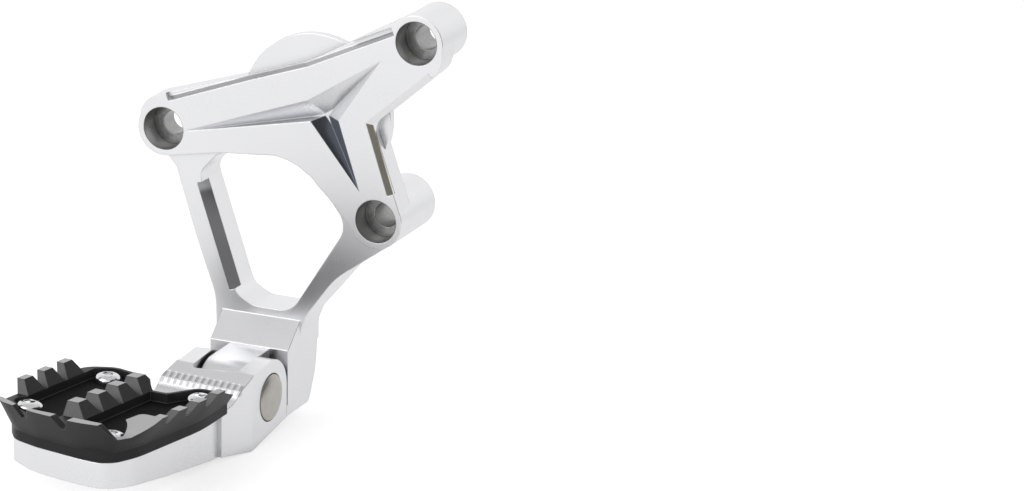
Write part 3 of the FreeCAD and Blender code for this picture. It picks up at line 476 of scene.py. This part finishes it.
TREAD_GRAIN = 4200.0
TREAD_CLOUD_GRAIN = 90.0
SCRATCH_GRAIN = 1600.0
SCRATCH_STRETCH = (1.0, 7.0, 1.0)
TREAD_EDGE_WIDTH = 0.0004
TREAD_BUMP_HEIGHT = 0.00003

# The tread's own axes: it rises outboard. Then the heights and places of its painted shade and
# sheen from the hinge, and how far a face points up or outboard, from 0 to 1, to take one.
TILT = math.radians(-3.5)
TREAD_TURN = Matrix.Rotation(SWEEP, 4, "Z") @ Matrix.Rotation(TILT, 4, "Y")
ALONG = TREAD_TURN.col[0].to_3d()
UP = TREAD_TURN.col[2].to_3d()
CHANNEL_HEIGHT = (0.0086, 0.0078)
CHANNEL_UPWARD = (0.5, 0.9)
FLANK_OUTBOARD = (0.40, 0.55)
FLANK_UPWARD = (0.15, 0.30)
TOP_HEIGHT = (0.0125, 0.0127)
TOP_UPWARD = (0.85, 0.95)
LOBE_ALONG = (0.0780, 0.0800)
LOBE_ACROSS = (-0.0160, -0.0155)
LOBE_HEIGHT = (0.0060, 0.0065)
LOBE_UPWARD = (0.5, 0.6)


def black_anodised():
    """Satin black, with painted shade in the channels and a painted grey sheen on the flanks, lobe
    and tooth tops.
    """
    material, shader, place = new_material("black tread")
    grain = place.noise(TREAD_GRAIN, detail=2.0, roughness=0.6)
    cloud = place.noise(TREAD_CLOUD_GRAIN)
    scratch = place.placed(scale=SCRATCH_STRETCH).noise(SCRATCH_GRAIN, detail=2.0)
    wear, soft = edge_wear(place, TREAD_EDGE_WIDTH)

    from_hinge = place.placed(location=TO_HINGE)
    along, across, height = (from_hinge.dot(axis) for axis in (ALONG, ACROSS, UP))
    way = facing(place)
    upward, outboard = way.dot(UP), way.dot(ALONG)

    deep = height.over(*CHANNEL_HEIGHT) * upward.over(*CHANNEL_UPWARD)
    flank_sheen = outboard.over(*FLANK_OUTBOARD) * upward.over(*FLANK_UPWARD)
    top = height.over(*TOP_HEIGHT) * upward.over(*TOP_UPWARD)
    lobe = along.over(*LOBE_ALONG) * across.over(*LOBE_ACROSS) * height.over(*LOBE_HEIGHT)
    lobe = lobe * upward.over(*LOBE_UPWARD) * (1 - top)

    colour = (cloud * 0.5 + grain * 0.5).mix(WALL_SHADE, WALL_LIGHT)
    # Painted shade on the channel floors, then a painted grey sheen on the flanks, the lobe and the
    # tooth tops.
    colour = deep.mix(colour, CHANNEL_SHADE_BLACK)
    colour = flank_sheen.mix(colour, scratch.mix(FLANK_SHEEN_SHADE, FLANK_SHEEN_LIGHT))
    colour = lobe.mix(colour, scratch.mix(LOBE_SHEEN_SHADE, LOBE_SHEEN_LIGHT))
    colour = top.mix(colour, scratch.mix(TOP_SHEEN_SHADE, TOP_SHEEN_LIGHT))
    feed(
        shader,
        Base_Color=wear.mix(colour, WORN_BLACK),
        Metallic=(flank_sheen + lobe + top).sum("MINIMUM", 1.0) * 0.8,
        Specular_IOR_Level=0.15,
        Roughness=0.36 + cloud * 0.10 + deep * 0.35,
        Normal=fine_bump(place, grain, strength=0.2, distance=TREAD_BUMP_HEIGHT, normal=soft),
    )
    return material


dress("tread_plate", black_anodised())

# Tread screws
# Four M5 button-head screws of bright plated steel. Each stands in for its plain solid, with
# a domed head, a rounded rim and a hexagon socket.
HEAD_SIDES = 48
HEAD_RADIUS = 0.00475
RIM_HEIGHT = 0.0012
DOME = ((0.00025, 0.0006), (0.0006, 0.0006), (0.0008, 0.0004), (0.0008, 0.0002))
SHANK_RADIUS = 0.0021
SHANK_LENGTH = 0.0120
SOCKET_RADIUS = 0.0021
SOCKET_DEPTH = 0.0017
ROUNDED_EDGE = 0.00012
SHARP_ANGLE = 0.6

PLATE_LIGHT = (0.84, 0.85, 0.86)
PLATE_SHADE = (0.66, 0.67, 0.68)
HAZE_GRAIN = 900.0
RIPPLE_GRAIN = 2600.0
RIPPLE_HEIGHT = 0.00001

# Each screw from the hinge in the tread's axes: along, across, its seat, and its turn in degrees.
CHANNEL_SEAT = 0.0053
LOBE_SEAT = 0.0044
SCREWS = {
    "front_root": (0.0357, -0.0066, CHANNEL_SEAT, 12),
    "rear_root": (0.0330, -0.0445, CHANNEL_SEAT, 41),
    "front_tip": (0.0870, -0.0090, LOBE_SEAT, 27),
    "rear_tip": (0.0765, -0.0478, CHANNEL_SEAT, 52),
}


def add_modifier(piece, kind, **settings):
    """Adds a modifier, sets it up and applies it."""
    modifier = piece.modifiers.new(kind.lower(), kind)
    for name, value in settings.items():
        setattr(modifier, name, value)
    bpy.context.view_layer.objects.active = piece
    bpy.ops.object.modifier_apply(modifier=modifier.name)


def button_screw():
    """One screw, its seat at the origin and its head upward."""
    screw = start_cylinder(HEAD_SIDES, HEAD_RADIUS, 0.0, RIM_HEIGHT)
    make_head(screw, HEAD_RADIUS, DOME, SHANK_RADIUS)
    turn_down(SHANK_LENGTH)
    bpy.ops.object.mode_set(mode="OBJECT")

    top = RIM_HEIGHT + sum(step[1] for step in DOME)
    bpy.ops.object.select_all(action="DESELECT")
    bpy.ops.mesh.primitive_cylinder_add(
        vertices=6, radius=SOCKET_RADIUS, depth=SOCKET_DEPTH * 2, location=(0, 0, top))
    cutter = bpy.context.object
    add_modifier(screw, "BOOLEAN", operation="DIFFERENCE", object=cutter, solver="EXACT")
    bpy.data.objects.remove(cutter)
    add_modifier(
        screw, "BEVEL", width=ROUNDED_EDGE, segments=2, limit_method="ANGLE",
        angle_limit=SHARP_ANGLE)
    return screw


def bright_plate():
    """Bright zinc plate over steel: nearly a mirror, with a faint haze."""
    material, shader, place = new_material("bright screw")
    haze = place.noise(HAZE_GRAIN)
    ripple = place.noise(RIPPLE_GRAIN, detail=2.0)
    feed(
        shader,
        Base_Color=haze.mix(PLATE_SHADE, PLATE_LIGHT),
        Metallic=1.0,
        Roughness=0.10 + haze * 0.12,
        Normal=fine_bump(place, ripple, strength=0.15, distance=RIPPLE_HEIGHT),
    )
    return material


pattern = button_screw()
pattern.data.materials.append(bright_plate())
for name, (along, across, seat, turn) in SCREWS.items():
    screw = bpy.data.objects.new("screw_" + name, pattern.data.copy())
    bpy.context.scene.collection.objects.link(screw)
    place = Matrix.Translation((along, across, seat))
    place = place @ Matrix.Rotation(math.radians(turn), 4, "Z")
    finish_mesh(screw, Matrix.Translation(HINGE) @ TREAD_TURN @ place, SHARP_ANGLE)
    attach(screw, "peg_side")
    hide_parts("tread_screw_" + name)
bpy.data.objects.remove(pattern)

# Floor, light and camera
# A white floor under the footpeg, a large soft box over it, dark sheets that only show in the
# metal, and the camera where the photograph was taken from.
FLOOR_GAP = 0.0002
FLOOR_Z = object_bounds()[0][2] - FLOOR_GAP
FLOOR_REACH = 4.0
FLOOR_GREY = (0.70, 0.70, 0.70, 1.0)
WHITE = (1.0, 1.0, 1.0, 1.0)
SHEET_BLACK = (0.02, 0.02, 0.022, 1.0)

# The floor glows by this much for the camera, and by this much in reflections.
FLOOR_SEEN = 0.60
FLOOR_MIRRORED = 0.40

# The world's strength as light. In reflections it falls off towards the top by this share.
WORLD_LIGHT = 0.64
ZENITH = (0.45, 0.95)
ZENITH_FALL = 0.35

KEY_PLACE = (1.4, -0.85, 1.2)
KEY_TARGET = (0.03, -0.03, 0.0)
KEY_SIZE = 1.6
KEY_POWER = 10.0

# Solved from the photograph: the place, the turn in degrees and the lens in millimetres.
CAMERA_PLACE = (1.58085, 0.71095, 0.54356)
CAMERA_TURN = (72.1117, -1.0642, 113.3935)
CAMERA_LENS = 186.92
CAMERA_SENSOR = 36.0
CAMERA_START = 0.05

# Two tall sheets meet at a corner before the bracket, and one lies over the far side. The tall
# ones are given by X and Y at their two ends, and by their height there.
SIDE_END = (0.42, 0.26, 0.35)
CORNER = (0.17, 0.47, 0.75)
FRONT_END = (-0.40, 0.43, 0.40)
OVERHEAD = 0.50
OVERHEAD_OUTLINE = ((0.05, -0.42), (0.27, -0.42), (0.27, -0.80), (0.05, -0.80))


def ray_kinds(tree):
    """Whether a ray comes from the camera, and whether from a reflection or through glass."""
    outputs = tree.nodes.new("ShaderNodeLightPath").outputs
    seen = Wire(tree, outputs["Is Camera Ray"])
    mirrored = Wire(tree, outputs["Is Glossy Ray"]) + Wire(tree, outputs["Is Transmission Ray"])
    return seen, mirrored.sum("MINIMUM", 1.0)


def stage_sheet(name, corners, material):
    """A flat four-sided sheet of the studio, given by its corners."""
    mesh = bpy.data.meshes.new(name)
    mesh.from_pydata(corners, [], [(0, 1, 2, 3)])
    mesh.materials.append(material)
    sheet = bpy.data.objects.new(name, mesh)
    bpy.context.scene.collection.objects.link(sheet)
    return sheet


def level(outline, height):
    """The corners of a level sheet."""
    return [(x, y, height) for x, y in outline]


def upright(start, end):
    """The corners of a sheet that stands on the floor from one end to the other."""
    return level((start[:2], end[:2]), FLOOR_Z) + [end, start]


floor_material, shader = new_material("floor")[:2]
seen, mirrored = ray_kinds(floor_material.node_tree)
feed(
    shader,
    Base_Color=FLOOR_GREY,
    Roughness=0.9,
    Emission_Color=WHITE,
    Emission_Strength=seen * FLOOR_SEEN + mirrored * FLOOR_MIRRORED,
)
around = [(x * FLOOR_REACH, y * FLOOR_REACH) for x, y in ((-1, -1), (1, -1), (1, 1), (-1, 1))]
stage_sheet("studio_floor", level(around, FLOOR_Z), floor_material)

dark_material, shader = new_material("dark sheet")[:2]
feed(shader, Base_Color=SHEET_BLACK, Roughness=0.9)
dark_sheets = {
    "dark_side": upright(SIDE_END, CORNER),
    "dark_front": upright(CORNER, FRONT_END),
    "dark_top": level(OVERHEAD_OUTLINE, OVERHEAD),
}
for name, corners in dark_sheets.items():
    sheet = stage_sheet(name, corners, dark_material)
    sheet.visible_camera = False
    sheet.visible_diffuse = False
    sheet.visible_shadow = False

world = bpy.data.worlds.new("studio")
bpy.context.scene.world = world
world.use_nodes = True
tree = world.node_tree
sky = tree.nodes["Background"]
seen, mirrored = ray_kinds(tree)
direction = Wire(tree, tree.nodes.new("ShaderNodeTexCoord").outputs["Generated"])
glow = 1.0 - direction.dot((0, 0, 1)).over(*ZENITH) * ZENITH_FALL
strength = (1 - seen) * ((1 - mirrored) * WORLD_LIGHT + mirrored * glow) + seen
tree.links.new(strength.socket, sky.inputs["Strength"])
sky.inputs["Color"].default_value = WHITE

soft_box = bpy.data.lights.new("key", "AREA")
soft_box.shape = "SQUARE"
soft_box.size = KEY_SIZE
soft_box.energy = KEY_POWER
lamp = bpy.data.objects.new("key", soft_box)
bpy.context.scene.collection.objects.link(lamp)
lamp.location = KEY_PLACE
to_target = Vector(KEY_TARGET) - Vector(KEY_PLACE)
lamp.rotation_euler = to_target.to_track_quat("-Z", "Y").to_euler()

eye = bpy.data.cameras.new("camera")
eye.lens = CAMERA_LENS
eye.sensor_width = CAMERA_SENSOR
eye.clip_start = CAMERA_START
camera = bpy.data.objects.new("camera", eye)
bpy.context.scene.collection.objects.link(camera)
camera.location = CAMERA_PLACE
camera.rotation_euler = tuple(math.radians(turn) for turn in CAMERA_TURN)
bpy.context.scene.camera = camera
bpy.context.scene.view_settings.view_transform = "Standard"
